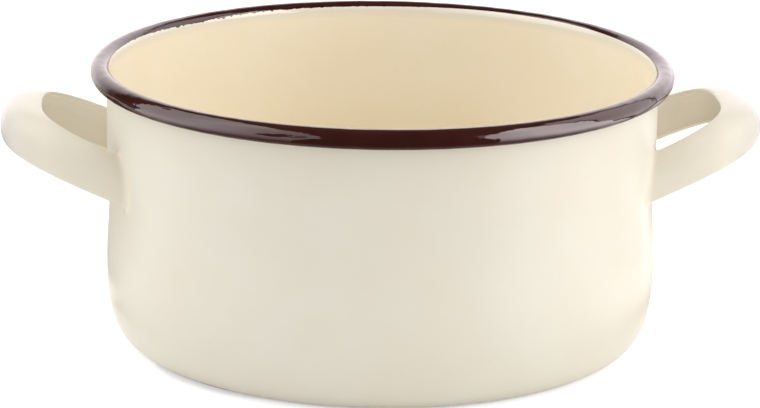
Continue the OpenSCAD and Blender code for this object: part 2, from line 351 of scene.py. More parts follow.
class Skin:
    """Points and faces of one closed surface, gathered from grids."""

    def __init__(self):
        self.points = np.zeros((0, 3))
        self.quads = np.zeros((0, 4), int)
        self.triangles = np.zeros((0, 3), int)

    def tube(self, grid):
        """Adds a grid that closes up both ways, such as a ring's skin."""
        first = len(self.points)
        self.points = np.vstack([self.points, grid.reshape(-1, 3)])
        self.quads = np.vstack([self.quads, grid_faces(grid.shape[0], grid.shape[1], first)])

    def ball(self, grid):
        """Adds a grid whose first and last rows each shrink to one point, as a ball's skin does."""
        first = len(self.points)
        rows, columns = grid.shape[0] - 2, grid.shape[1]
        inner = grid[1:-1].reshape(-1, 3)
        self.points = np.vstack([self.points, inner, grid[0].mean(0)[None], grid[-1].mean(0)[None]])
        self.quads = np.vstack([self.quads, grid_faces(rows, columns, first, wrap_rows=False)])
        start = first + np.arange(columns)
        end = start + (rows - 1) * columns
        low, high = first + rows * columns, first + rows * columns + 1
        self.triangles = np.vstack([self.triangles, pole_faces(start[::-1], low), pole_faces(end, high)])

    def volume(self):
        """Volume inside, by the divergence rule: it is negative where the faces point inwards."""
        fans = [self.quads[:, [0, 1, 2]], self.quads[:, [0, 2, 3]], self.triangles]
        a, b, c = (self.points[np.vstack(fans)[:, k]] for k in range(3))
        return float(np.einsum("ij,ij->i", a, np.cross(b, c)).sum() / 6)

    def outwards(self):
        """The same skin with its faces turned, if need be, to point outwards."""
        if self.volume() < 0:
            self.quads, self.triangles = self.quads[:, ::-1], self.triangles[:, ::-1]
        return self


def new_piece(name, skin, material, node):
    """A smooth-shaded mesh object at the origin, which stands for a CAD node and rides on the pan."""
    mesh = bpy.data.meshes.new(name)
    corners = np.concatenate([skin.quads.ravel(), skin.triangles.ravel()])
    sizes = np.concatenate([np.full(len(skin.quads), 4), np.full(len(skin.triangles), 3)])
    mesh.vertices.add(len(skin.points))
    mesh.vertices.foreach_set("co", skin.points.astype(np.float32).ravel())
    mesh.loops.add(len(corners))
    mesh.loops.foreach_set("vertex_index", corners.astype(np.int32))
    mesh.polygons.add(len(sizes))
    mesh.polygons.foreach_set("loop_start", (np.cumsum(sizes) - sizes).astype(np.int32))
    mesh.polygons.foreach_set("use_smooth", np.ones(len(sizes), bool))
    mesh.update(calc_edges=True)
    crease = math.radians(50)
    mesh.set_sharp_from_angle(angle=crease)
    mesh.materials.append(material)
    piece = bpy.data.objects.new(name, mesh)
    bpy.context.scene.collection.objects.link(piece)
    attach(piece, BODY)
    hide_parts(node)


# The pan's coats

def inner_edge(band, turn):
    """Bead angle of the band's inner edge at each turn: it hangs low at the back left and high at the
    back right, and its teeth fade in and out.

    The teeth are the positive parts of fine waves, and are deepest at the back left."""
    sway = bell(turn, 131, 13) - bell(turn, 48, 26) + 0.1 * waves(turn, (3, 5, 8, 13), 4)
    back_left = bell(turn, 128, 30)
    rough = np.clip(waves(turn, (47, 83, 131, 178, 233, 307), 9), 0, None)
    fine = waves(turn, (61, 109, 163, 211, 277, 353), 17)
    teeth = (0.05 + back_left) * (rough + 0.35 * fine - 0.5) / 2
    edge = band.inner_edge + band.sway * sway + band.ragged * teeth
    return np.minimum(edge, band.inner_limit)


def outer_edge(band, turn):
    """Bead angle of the band's edge under the bead at each turn, which waves slightly."""
    return band.outer_edge + band.outer_sway * waves(turn, (3, 7, 16, 29, 53), 23)


def inner_coat_skin(shape, band):
    """The cream coat: the pan's profile moved in by the wall's thickness, turned round the axis.

    It runs over the inner shoulder of the bead, to just under the brown band, and back on the steel."""
    pan = shape.pan
    rows = np.vstack([shape.underside(), shape.heel()[1:], shape.wall()])
    bend = np.linspace(np.pi, band.inner_under, 24)
    lap_r = shape.bead_r - band.lap_t
    seen = shifted(rows, -shape.wall_t)
    # The neck's face lies back by the lap's thickness, because the band's inner edge laps it
    rise = np.linspace(shape.neck_z, shape.bead_z, 14)[1:-1]
    straight = np.column_stack([np.full(len(rise), shape.bead_x - lap_r), rise])
    hidden = shifted(rows, -pan.coat_t - pan.steel_t)[::3]
    profile = np.vstack([seen, straight, shape.bead(bend, lap_r), shape.bead(bend[::-1], shape.curl_r),
                         hidden[::-1]])
    skin = Skin()
    skin.ball(turned(profile, pan.around))
    return skin.outwards()


def outer_coat_skin(shape, band):
    """The ivory coat: the heel and wall turned round the axis, with a hollow arc under the bead.

    The arc touches the neck and the bead's circle, and the coat ends just under the brown band."""
    pan = shape.pan
    lap_r = shape.bead_r - band.lap_t
    arc_x = shape.neck_r + pan.fillet_r
    reach = lap_r + pan.fillet_r
    arc_z = shape.bead_z - math.sqrt(reach ** 2 - (arc_x - shape.bead_x) ** 2)
    meet = math.atan2(arc_z - shape.bead_z, arc_x - shape.bead_x)
    bend = np.linspace(np.pi, meet + np.pi, 12)[1:]
    arc = np.stack([arc_x + pan.fillet_r * np.cos(bend), arc_z + pan.fillet_r * np.sin(bend)], -1)
    under = np.linspace(meet, band.outer_under, 6)[1:]
    rows = np.vstack([[[shape.base_r, 0, 0, -1]], shape.heel()[1:], shape.wall()])
    seen = np.vstack([shifted(rows, 0), shifted(shape.neck(arc_z), 0), arc, shape.bead(under, lap_r)])
    corner = -math.acos((shape.neck_r - shape.bead_x) / shape.curl_r)
    back = shape.bead(np.linspace(band.outer_under, corner, 12), shape.curl_r)
    inner = np.vstack([shifted(rows, -pan.coat_t), [[shape.neck_r - pan.coat_t, back[-1, 1]]]])
    skin = Skin()
    skin.tube(turned(np.vstack([seen, back, inner[::-1]]), pan.around))
    return skin.outwards()


def rim_band_skin(shape, band):
    """The brown band: an arc round the bead, turned round the axis, whose two edges wander.

    Its surface sinks by slow waves that run round and across the bead, and fade at the edges.
    Its underside lies on the cream and ivory coats near the edges, and on the steel between them."""
    turn = np.linspace(0, 2 * np.pi, shape.pan.around_rim, endpoint=False)
    start, end = inner_edge(band, turn), outer_edge(band, turn)
    lip_w = 0.009
    rounded = np.array([0, 0.004, lip_w])
    across = np.concatenate([rounded, np.linspace(0.016, 0.984, 40), 1 - rounded[::-1]])[:, None]
    bend = mix(start, end, across)
    lip = np.clip(np.minimum(across, 1 - across) / lip_w, 0, 1)
    clear = np.minimum(bend - band.outer_under, band.inner_under - bend)
    fade = np.clip(clear / band.relief_fade, 0, 1)
    lap_r = shape.bead_r - band.lap_t
    sink = band.relief * (1 + band_waves(turn, bend)) / 2 * ease(fade)
    face = shape.bead(bend, lap_r + band.lap_t * np.sin(lip * np.pi / 2) - sink)
    overlap = np.array([0, 0.02, 0.04])[:, None]
    low = mix(end, start, overlap)
    under_low = np.broadcast_to(np.linspace(band.outer_under, band.inner_under, 10)[:, None], (10, len(turn)))
    high = mix(end, start, 1 - overlap[::-1])
    under = np.concatenate([
        shape.bead(low[1:], lap_r), shape.bead(under_low[:1], lap_r), shape.bead(under_low, shape.curl_r),
        shape.bead(under_low[-1:], lap_r), shape.bead(high[:-1], lap_r),
    ])
    skin = Skin()
    skin.tube(turned(np.concatenate([face, under]), len(turn)))
    return skin.outwards()


def band_waves(turn, bend):
    """Waves from -1 to 1 in the band's surface: products of a wave round the pan and one across the bead.

    Their sum seldom passes 2.4, and is cut off there."""
    total, most = 0, 2.4
    for k, (slow, across) in enumerate(((9, 1.2), (14, 2.1), (23, 1.6), (31, 2.8), (52, 2.3), (77, 3.1))):
        phase = np.random.default_rng(31 + k).uniform(0, 2 * np.pi, 2)
        total = total + np.cos(slow * turn + phase[0]) * np.cos(across * bend + phase[1])
    return np.clip(total / most, -1, 1)


def base_coat_skin(shape):
    """The dark ground coat: the underside's profile and the same a coat higher, turned round the axis."""
    rows = shape.underside()
    profile = np.vstack([shifted(rows, 0), shifted(rows, -shape.pan.coat_t)[::-1]])
    skin = Skin()
    skin.ball(turned(profile, shape.pan.around))
    return skin.outwards()


# The handles' coats

class LoopShape:
    """The loop of a handle. Its own frame has u along the tilt, v along Y and w square to the loop."""

    def __init__(self, shape, handle):
        self.shape = shape
        self.handle = handle
        self.half_w = handle.width / 2
        self.arm_splay = handle.splay / 2
        self.half_h = handle.strap_h / 2

    def place(self, u, v, w):
        """A point of the loop's frame in the pan's frame, for the handle on the +X side."""
        tilt, handle = self.handle.tilt, self.handle
        x = self.shape.neck_r + u * np.cos(tilt) - w * np.sin(tilt)
        z = self.shape.pan.pan_h - handle.drop + u * np.sin(tilt) + w * np.cos(tilt)
        return np.stack([x, v + 0 * x, z], -1)

    def bow(self, steps):
        """The middle line of the bow at even steps: a superellipse from arm to arm, less the splay.

        Gives each point and its outward normal, in the loop's plane."""
        turn = np.linspace(np.pi / 2, -np.pi / 2, 4001)
        power = 2 / self.handle.bow_power
        u = self.handle.reach * np.abs(np.cos(turn)) ** power
        side = np.sign(turn) * np.abs(np.sin(turn)) ** power
        splay = np.sign(turn) * self.arm_splay * (1 - u / self.handle.reach)
        v = (self.half_w - self.arm_splay) * side + splay
        line = np.stack([u, v], -1)
        line[0], line[-1] = (0, self.half_w), (0, -self.half_w)
        along = np.concatenate([[0], np.cumsum(np.linalg.norm(np.diff(line, axis=0), axis=1))])
        even = np.linspace(0, along[-1], steps)
        points = np.stack([np.interp(even, along, line[:, k]) for k in (0, 1)], -1)
        direction = unit(np.gradient(points, axis=0))
        return points, np.stack([-direction[:, 1], direction[:, 0]], -1)

    def section(self, share, coat, face_steps=16, edge_steps=9):
        """Closed sections of the strap, grown by a coat, at shares of the reach.

        Each half of the crown is a quarter ellipse that leans in to its edge, and the edges are
        half circles as thick as the strap and its coats. Gives points and normals, each as the
        part along the middle line's outward normal and the part along w."""
        handle = self.handle
        k = np.clip(share, 0, 1)[:, None] ** handle.lean_power
        y = self.half_h / math.sin(handle.crown_turn)
        half = handle.strap_t / 2 + coat
        inset = handle.strap_t / 2 + self.shape.pan.coat_t - handle.edge_over
        faces = []
        for up, arm, tip in ((-1, handle.arm_tuck, handle.tip_tuck), (1, handle.arm_lean, handle.tip_lean)):
            x = mix(arm, tip, k) / (1 - math.cos(handle.crown_turn))
            speed = np.hypot(x * math.sin(handle.crown_turn), y * math.cos(handle.crown_turn))
            turn = np.linspace(0, 1, face_steps) * (handle.crown_turn - inset / speed)
            normal = unit(np.stack([np.cos(turn) / x, up * np.sin(turn) / y], -1))
            middle = np.stack([-x * (1 - np.cos(turn)), up * y * np.sin(turn)], -1)
            faces.append((middle - handle.strap_t / 2 * normal, normal))
        (low, low_n), (high, high_n) = faces
        middle = np.concatenate([low[:, ::-1], high[:, 1:]], 1)
        normal = np.concatenate([low_n[:, ::-1], high_n[:, 1:]], 1)
        past = np.stack([-normal[..., 1], normal[..., 0]], -1)
        fan = np.linspace(0, np.pi, edge_steps + 2)[1:-1, None]
        over_top = normal[:, -1:] * np.cos(fan) + past[:, -1:] * np.sin(fan)
        under_low = -normal[:, :1] * np.cos(fan) - past[:, :1] * np.sin(fan)
        centres = np.concatenate([middle, np.repeat(middle[:, -1:], edge_steps, 1), middle[:, ::-1],
                                  np.repeat(middle[:, :1], edge_steps, 1)], 1)
        normals = np.concatenate([normal, over_top, -normal[:, ::-1], under_low], 1)
        return centres + half * normals, normals

    def skin_rings(self, coat, steps=190, arm_steps=8, fillet_steps=12):
        """Rings of a skin round the strap, from the wall over the loop and back to the wall."""
        points, normals = self.bow(steps)
        section, _ = self.section(points[:, 0] / self.handle.reach, coat)
        u = points[:, :1] + section[..., 0] * normals[:, :1]
        v = points[:, 1:] + section[..., 0] * normals[:, 1:]
        bow = self.place(u, v, section[..., 1])
        arm = self.arm_rings(coat, arm_steps, fillet_steps)
        other = arm[::-1] * np.array([1, -1, 1])
        return np.concatenate([arm, bow[1:-1], other])

    def arm_rings(self, coat, arm_steps, fillet_steps):
        """Rings of the arm on the +Y side, from inside the wall to where the bow begins.

        Each point of the section runs along the straight arm to the wall. A fillet joins them: a
        curve of the second degree that touches the arm, then the wall, at the fillet's reach."""
        section, side = (part[0] for part in self.section(np.zeros(1), coat))
        lean = unit(np.array([self.arm_splay / self.handle.reach, 1.0]))

        def arm_point(u):
            v = self.half_w - self.arm_splay * u / self.handle.reach
            return self.place(u + section[:, 0] * lean[0], v + section[:, 0] * lean[1], section[:, 1])

        def wall_gap(u):
            point = arm_point(u)
            return np.hypot(point[:, 0], point[:, 1]) - self.shape.wall_radius(point[:, 2])

        low = np.full(len(section), -self.handle.reach / 2)
        high = np.zeros(len(section))
        for _ in range(30):
            middle = (low + high) / 2
            outside = wall_gap(middle) > 0
            low, high = np.where(outside, low, middle), np.where(outside, middle, high)
        foot = arm_point(high)
        along = unit(arm_point(high + self.handle.reach / 2) - foot)
        stride = np.linalg.norm(arm_point(np.ones(len(section))) - arm_point(np.zeros(len(section))), axis=1)
        out = unit(foot * np.array([1, 1, 0]))
        side_n = self.place(side[:, 0] * lean[0], side[:, 0] * lean[1], side[:, 1])
        side_n = side_n - self.place(0.0, 0.0, 0.0)
        spread = unit(side_n - (side_n * out).sum(-1, keepdims=True) * out)
        reach = self.handle.fillet_l if coat > 0 else 0.0
        start = high + reach / stride
        arm = [arm_point(mix(start, 0, t)) for t in np.linspace(0, 1, arm_steps + 1)]
        near, far = foot + reach * along, foot + reach * spread
        curve = [(1 - t) ** 2 * far + 2 * t * (1 - t) * foot + t ** 2 * near
                 for t in np.linspace(0, 1, fillet_steps, endpoint=False)]
        sunk = self.onto_wall(far, -self.handle.sink * self.shape.pan.coat_t)
        curve[0] = self.onto_wall(far, 0)
        return np.stack([sunk, *curve, *arm])

    def onto_wall(self, points, height):
        """Points moved square to the axis to a height above the wall's enamel."""
        radius = self.shape.wall_radius(points[:, 2]) + height
        scale = radius / np.hypot(points[:, 0], points[:, 1])
        return points * np.stack([scale, scale, np.ones(len(scale))], -1)

    def foot_pad(self, side, rings=20, around=96):
        """The coat over a foot: a low pad on the wall, whose sides fall to nothing by a cosine ease.

        Its outline is a superellipse from inside the strap to past the foot's free end."""
        power, flat_share = 7, 0.8
        handle = self.handle
        full = handle.strap_t + self.shape.pan.coat_t
        turn = np.linspace(0, 2 * np.pi, around, endpoint=False)
        out = np.concatenate([np.linspace(0, 0.72, 5), np.linspace(0.76, 1, rings - 5)])[:, None]
        square = (np.abs(np.cos(turn)) ** power + np.abs(np.sin(turn)) ** power) ** (-1 / power)
        w = out * square * np.sin(turn) * (handle.foot_h / 2 + handle.foot_edge)
        lean = np.where(w > 0, handle.arm_lean, handle.arm_tuck) * (w / self.half_h) ** 2
        near = self.half_w - lean - handle.strap_t / 2
        far = self.half_w - handle.foot_l - handle.foot_edge
        v = mix(far, near, (1 + out * square * np.cos(turn)) / 2)
        rise = full * ease(np.clip((1 - out) / (1 - flat_share), 0, 1)) + 0 * v
        lie = np.sqrt(self.shape.neck_r ** 2 - v ** 2) - self.shape.neck_r + w * math.sin(handle.tilt)
        flat = self.place(lie / math.cos(handle.tilt), v * side, w)
        top = self.onto_wall(flat.reshape(-1, 3), rise.ravel()).reshape(flat.shape)
        under = self.onto_wall(flat.reshape(-1, 3), -self.shape.pan.coat_t / 2).reshape(flat.shape)
        return np.concatenate([top, under[::-1]])


def handle_coat_skin(shape, handle, left):
    """The coat of a handle: a skin round the strap and one on it, joined at the wall, and two foot pads."""
    loop = LoopShape(shape, handle)
    face = loop.skin_rings(shape.pan.coat_t)
    steel = loop.skin_rings(0.0)
    half_turn = np.array([-1, -1, 1]) if left else np.ones(3)
    skin = Skin()
    skin.tube(np.concatenate([face, steel[::-1]]) * half_turn)
    for side in (-1, 1):
        skin.ball(loop.foot_pad(side) * half_turn)
    return skin.outwards()


# Materials

class Nodes:
    """The node tree of a new material or world, with short calls that add a node and link it."""

    def __init__(self, owner):
        owner.use_nodes = True
        self.owner = owner
        self.tree = owner.node_tree
        self.tree.nodes.clear()

    def feed(self, socket, value):
        """Links a socket to the output socket that is its value, or gives it a value of its own."""
        if isinstance(value, bpy.types.NodeSocket):
            self.tree.links.new(value, socket)
        else:
            socket.default_value = value

    def add(self, kind, **inputs):
        """Adds a node of a kind. An input is a value, or the output socket that feeds it."""
        node = self.tree.nodes.new(kind)
        for name, value in inputs.items():
            self.feed(node.inputs[name.replace("_", " ")], value)
        return node

    def calculate(self, operation, *values, kind="ShaderNodeMath", result="Value"):
        """What an operation makes of its values."""
        node = self.tree.nodes.new(kind)
        node.operation = operation
        for socket, value in zip(node.inputs, values):
            self.feed(socket, value)
        return node.outputs[result]

    def noise(self, place, scale, detail=2.0, roughness=0.5):
        """Smooth noise from 0 to 1 at a number of cells a metre."""
        return self.add("ShaderNodeTexNoise", Vector=place, Scale=scale, Detail=detail,
                        Roughness=roughness).outputs["Fac"]

    def ramp(self, value, low, high, to_low=0.0, to_high=1.0):
        """A value mapped from one range to another, and held at its ends."""
        node = self.add("ShaderNodeMapRange", Value=value)
        for name, level in (("From Min", low), ("From Max", high), ("To Min", to_low), ("To Max", to_high)):
            node.inputs[name].default_value = level
        return node.outputs["Result"]

    def blend(self, factor, a, b):
        """A colour a share of the way from a to b. Each is a colour's three parts, or a socket."""
        node = self.tree.nodes.new("ShaderNodeMix")
        node.data_type = "RGBA"
        for name, value in (("Factor_Float", factor), ("A_Color", a), ("B_Color", b)):
            socket = next(s for s in node.inputs if s.identifier == name)
            self.feed(socket, (*value, 1.0) if isinstance(value, tuple) else value)
        return next(s for s in node.outputs if s.identifier == "Result_Color")

    def bump(self, height, distance, normal=None):
        """A bumped normal: the height's change, times a distance in metres."""
        node = self.add("ShaderNodeBump", Height=height, Distance=distance, Strength=1.0)
        if normal is not None:
            self.tree.links.new(normal, node.inputs["Normal"])
        return node.outputs["Normal"]

    def pinholes(self, place, scale, least, size):
        """1 in small dots, one in each of the rare cells whose random number is over the least, else 0."""
        cells = self.add("ShaderNodeTexVoronoi", Vector=place, Scale=scale)
        draw = self.add("ShaderNodeSeparateColor", Color=cells.outputs["Color"]).outputs["Red"]
        chosen = self.ramp(draw, least, least + 0.01)
        dot = self.ramp(cells.outputs["Distance"], size, 1.6 * size, 1.0, 0.0)
        return self.calculate("MULTIPLY", chosen, dot)

    def output(self, shader, kind="ShaderNodeOutputMaterial"):
        """Ends the tree with a shader, and gives the material or world."""
        self.add(kind, Surface=shader)
        return self.owner


def foot_line(t, place, look):
    """1 in a thin dark line along the bottom of the heel's foot, on a stretch of it, else 0.

    The line is as high as a smooth bump of the direction round the pan, and noise frays it."""
    parts = t.add("ShaderNodeSeparateXYZ", Vector=place).outputs
    flat = t.add("ShaderNodeCombineXYZ", X=parts["X"], Y=parts["Y"]).outputs["Vector"]
    facing = t.calculate("NORMALIZE", flat, kind="ShaderNodeVectorMath", result="Vector")
    middle = (math.sin(look.foot_line_turn), -math.cos(look.foot_line_turn), 0)
    along = t.calculate("DOT_PRODUCT", facing, middle, kind="ShaderNodeVectorMath")
    top = t.ramp(along, math.cos(look.foot_line_half), math.cos(look.foot_line_half / 3), look.foot_line_low, look.foot_line_high)
    fray = t.ramp(t.noise(place, 300.0), 0.3, 0.7, -look.foot_line_fray, look.foot_line_fray)
    below = t.calculate("SUBTRACT", t.calculate("ADD", top, fray), parts["Z"])
    return t.ramp(below, 0.0, 2 * look.foot_line_fray)


def painted_shade_at_tip(t, place, look):
    """1 at the handles' tips, which are painted greyer as shade, and 0 along their arms."""
    out = t.calculate("ABSOLUTE", t.add("ShaderNodeSeparateXYZ", Vector=place).outputs["X"])
    return t.ramp(out, look.tip_x - look.tip_fade, look.tip_x)


def painted_shade_on_shoulder(t, place, look):
    """1 on the bead's shoulder inside the pan, which is painted greyer as shade, and 0 below it."""
    height = t.add("ShaderNodeSeparateXYZ", Vector=place).outputs["Z"]
    return t.ramp(height, look.shoulder_low, look.shoulder_high)


def enamel(name, look, base, blush, roughness, shine, other, where):
    """Fired enamel: a base colour with faint warm clouds, sparse pinholes and a slightly wavy gloss.

    The other colour takes over where a function of the place says 1: painted shade on the handles' tips and
    on the bead's inner shoulder, and a thin dark line along a stretch of the foot. Shine is the specular
    level."""
    t = Nodes(bpy.data.materials.new(name))
    place = t.add("ShaderNodeTexCoord").outputs["Object"]
    clouds = t.ramp(t.noise(place, 30.0, 3.0), 0.35, 0.65)
    tone = t.blend(clouds, tuple(base), tuple(blush))
    speck = t.ramp(t.pinholes(place, scale=38.0, least=0.90, size=0.008), 0.0, 1.0, 0.0, 0.35)
    tone = t.blend(speck, tone, tuple(0.25 * c for c in base))
    tone = t.blend(where(t, place, look), tone, tuple(other))
    long_waves = t.bump(t.noise(place, 45.0, 1.0), look.peel)
    skin = t.bump(t.noise(place, 260.0, 1.0), look.peel / 9, long_waves)
    shader = t.add("ShaderNodeBsdfPrincipled", Base_Color=tone, Roughness=roughness, IOR=1.45,
                   Specular_IOR_Level=shine, Normal=skin)
    return t.output(shader.outputs[0])


def brown_enamel(look):
    """The band's brown enamel: almost black, with faint redder clouds and a sharp gloss.

    The gloss is weaker where the surface faces down, and broken by a few pinholes."""
    t = Nodes(bpy.data.materials.new("fired_brown"))
    place = t.add("ShaderNodeTexCoord").outputs["Object"]
    clouds = t.ramp(t.noise(place, 60.0, 2.0), 0.3, 0.7)
    tone = t.blend(clouds, tuple(look.brown), tuple(1.5 * c for c in look.brown))
    skin = t.bump(t.noise(place, 170.0, 2.0), 0.0001)
    rough = t.ramp(t.pinholes(place, scale=70.0, least=0.80, size=0.018), 0.0, 1.0, 0.06, 0.9)
    facing = t.add("ShaderNodeSeparateXYZ", Vector=t.add("ShaderNodeNewGeometry").outputs["Normal"])
    level = t.ramp(facing.outputs["Z"], -0.5, -0.2, 0.1, 0.5)
    shader = t.add("ShaderNodeBsdfPrincipled", Base_Color=tone, Roughness=rough, IOR=1.55,
                   Specular_IOR_Level=level, Normal=skin)
    return t.output(shader.outputs[0])


def ground_enamel(look):
    """The ground coat of the underside: dark blue-grey, speckled, and half matt from the kiln's pins."""
    t = Nodes(bpy.data.materials.new("fired_ground_coat"))
    place = t.add("ShaderNodeTexCoord").outputs["Object"]
    grain = t.ramp(t.noise(place, 900.0, 3.0), 0.42, 0.62)
    tone = t.blend(grain, tuple(look.ground), tuple(2.4 * c for c in look.ground))
    skin = t.bump(t.noise(place, 420.0, 3.0), 0.0001)
    shader = t.add("ShaderNodeBsdfPrincipled", Base_Color=tone, Roughness=0.34, Normal=skin)
    return t.output(shader.outputs[0])


def bare_steel(look):
    """Sheet steel under the enamel, matt from the enameller's pickling bath."""
    t = Nodes(bpy.data.materials.new("bare_steel"))
    place = t.add("ShaderNodeTexCoord").outputs["Object"]
    grain = t.ramp(t.noise(place, 700.0, 4.0), 0.3, 0.7, 0.38, 0.55)
    shader = t.add("ShaderNodeBsdfPrincipled", Base_Color=(*look.steel, 1.0), Metallic=1.0, Roughness=grain)
    return t.output(shader.outputs[0])


# The stage

# Linear colours of the backdrop's light and of the soft boxes' light in the gloss
WHITE = (1.0, 1.0, 1.0, 1.0)
CARD_TINT = (1.0, 0.91, 0.94, 1.0)


def seen_directly(t):
    """1 for camera, glossy and transmission rays, and 0 for the others."""
    path = t.add("ShaderNodeLightPath").outputs
    mirrored = t.calculate("MAXIMUM", path["Is Camera Ray"], path["Is Glossy Ray"])
    return t.calculate("MAXIMUM", mirrored, path["Is Transmission Ray"])


def floor_material(stage):
    """A pale matt floor. A little light of its own lifts it to white, and its shadow stays."""
    t = Nodes(bpy.data.materials.new("floor"))
    tone = stage.floor_tone
    matt = t.add("ShaderNodeBsdfDiffuse", Color=(tone, tone, tone, 1.0))
    strength = t.ramp(seen_directly(t), 0.0, 1.0, 0.0, stage.floor_glow)
    glow = t.add("ShaderNodeEmission", Color=WHITE, Strength=strength)
    both = t.tree.nodes.new("ShaderNodeAddShader")
    t.feed(both.inputs[0], matt.outputs[0])
    t.feed(both.inputs[1], glow.outputs[0])
    return t.output(both.outputs[0])


def stage_mesh(name, points, faces, material):
    """A mesh of the stage, which isn't part of the pan."""
    mesh = bpy.data.meshes.new(name)
    mesh.from_pydata(points.tolist(), [], faces.tolist())
    mesh.materials.append(material)
    piece = bpy.data.objects.new(name, mesh)
    bpy.context.scene.collection.objects.link(piece)
    return piece


def around_pan(stage, azimuth, distance, height):
    """A point at an azimuth in degrees to the right of the camera's side, at a distance from the axis."""
    turn = math.radians(azimuth) - stage.camera_turn
    return Vector((distance * math.sin(turn), -distance * math.cos(turn), height))


def add_floor(stage):
    """A round floor at the pan's foot."""
    sides = 96
    turn = np.linspace(0, 2 * np.pi, sides, endpoint=False)
    ring = np.stack([stage.floor_r * np.cos(turn), stage.floor_r * np.sin(turn), 0 * turn], -1)
    points = np.vstack([ring, [[0, 0, 0]]])
    stage_mesh("floor", points, pole_faces(np.arange(sides), sides), floor_material(stage))


def add_world(stage):
    """White for what is seen in or through the pan, and an even fill for its light."""
    t = Nodes(bpy.data.worlds.new("studio"))
    strength = t.ramp(seen_directly(t), 0.0, 1.0, stage.fill, 1.0)
    back = t.add("ShaderNodeBackground", Color=WHITE, Strength=strength)
    bpy.context.scene.world = t.output(back.outputs[0], "ShaderNodeOutputWorld")


def add_panel_light(name, stage, face, low, high, top, radiance):
    """A standing soft panel of light, square to the azimuth face, between two azimuths.

    Radiance is that of a white surface in full light, times a number."""
    distance = stage.panel_distance
    near, far = (distance * math.tan(math.radians(a - face)) for a in (low, high))
    light = new_panel(name, abs(far - near), top, radiance)
    out = around_pan(stage, face, 1.0, 0)
    side = Vector((-out.y, out.x, 0))
    place = out * distance + side * (near + far) / 2 + Vector((0, 0, top / 2))
    turn = Matrix((side, Vector((0, 0, 1)), out)).transposed()
    light.matrix_world = Matrix.Translation(place) @ turn.to_4x4()


def new_panel(name, width, height, radiance):
    """A rectangle of light that lights the pan without showing to the camera or in the gloss."""
    data = bpy.data.lights.new(name, "AREA")
    data.shape = "RECTANGLE"
    data.size, data.size_y = width, height
    data.energy = radiance * math.pi * width * height
    light = bpy.data.objects.new(name, data)
    bpy.context.scene.collection.objects.link(light)
    light.visible_camera = light.visible_glossy = False
    return light


def card_grid(outline, columns, shares):
    """A card's azimuths in radians, its grid of values from edge to edge, and its radiances.

    Each corner of the outline is an azimuth in degrees, a value at each of the two edges, and the
    radiance there. Everything between the corners is on straight lines."""
    corner, first, last, radiance = np.array(outline, float).T
    azimuth = np.linspace(corner[0], corner[-1], columns)
    edges = (np.interp(azimuth, corner, edge)[:, None] for edge in (first, last))
    return np.radians(azimuth)[:, None], mix(*edges, shares), np.interp(azimuth, corner, radiance)[:, None]


def add_card(name, stage, outline, radius=3.0, fade=0.0):
    """A card that only gloss shows, bent to a part of a ball round the rim's middle.

    The values in the outline are a low and a high elevation. The radiance falls to nothing over a
    share of the height under the top edge: the fade."""
    up = np.linspace(0, 1, 25)
    azimuth, elevation, radiance = card_grid(outline, 60, up)
    turn, rise = azimuth - stage.camera_turn, np.radians(elevation)
    points = radius * np.stack([np.sin(turn) * np.cos(rise), -np.cos(turn) * np.cos(rise), np.sin(rise)], -1)
    points[..., 2] += stage.card_height
    level = ease(np.clip((1 - up) / fade, 0, 1)) if fade else 1 + 0 * up
    gloss_only_card(name, points, radiance * level)


def add_floor_card(name, stage, outline, height=0.002, fade=0.0):
    """A card on the floor that only gloss shows.

    The values in the outline are a near and a far distance. The radiance rises from nothing beside
    the pan by an exponential curve, whose length is the fade."""
    azimuth, distance, radiance = card_grid(outline, 40, np.linspace(0, 1, 17) ** 3)
    turn = azimuth - stage.camera_turn
    points = np.stack([distance * np.sin(turn), -distance * np.cos(turn), height + 0 * distance], -1)
    nearest = min(corner[1] for corner in outline)
    level = 1 - np.exp((nearest - distance) / fade) if fade else 1 + 0 * distance
    gloss_only_card(name, points, radiance * level)


def gloss_only_card(name, points, radiance):
    """A card seen in gloss alone, as bright as a white surface times the radiance of each point."""
    rows, columns = points.shape[:2]
    number_of = np.arange(rows * columns).reshape(rows, columns)
    faces = np.stack([number_of[:-1, :-1], number_of[1:, :-1], number_of[1:, 1:], number_of[:-1, 1:]], -1)
    t = Nodes(bpy.data.materials.new(name))
    level = t.add("ShaderNodeAttribute")
    level.attribute_name = "radiance"
    glow = t.add("ShaderNodeEmission", Color=CARD_TINT, Strength=level.outputs["Fac"])
    card = stage_mesh(name, points.reshape(-1, 3), faces.reshape(-1, 4), t.output(glow.outputs[0]))
    levels = card.data.attributes.new("radiance", "FLOAT", "POINT")
    levels.data.foreach_set("value", radiance.astype(np.float32).ravel())
    t.owner.cycles.emission_sampling = "NONE"
    card.visible_camera = card.visible_diffuse = card.visible_shadow = False
    card.visible_transmission = card.visible_volume_scatter = False


def add_lights(stage):
    """A standing panel of light on each side, and a square one level over the pan."""
    add_panel_light("left_panel", stage, face=-103, low=-165, high=-26, top=2.2, radiance=1.2)
    add_panel_light("right_panel", stage, face=110, low=36, high=106, top=1.9, radiance=2.12)
    above = new_panel("top_panel", 1.3, 1.3, radiance=1.96)
    above.location = (0, 0, 1.6)


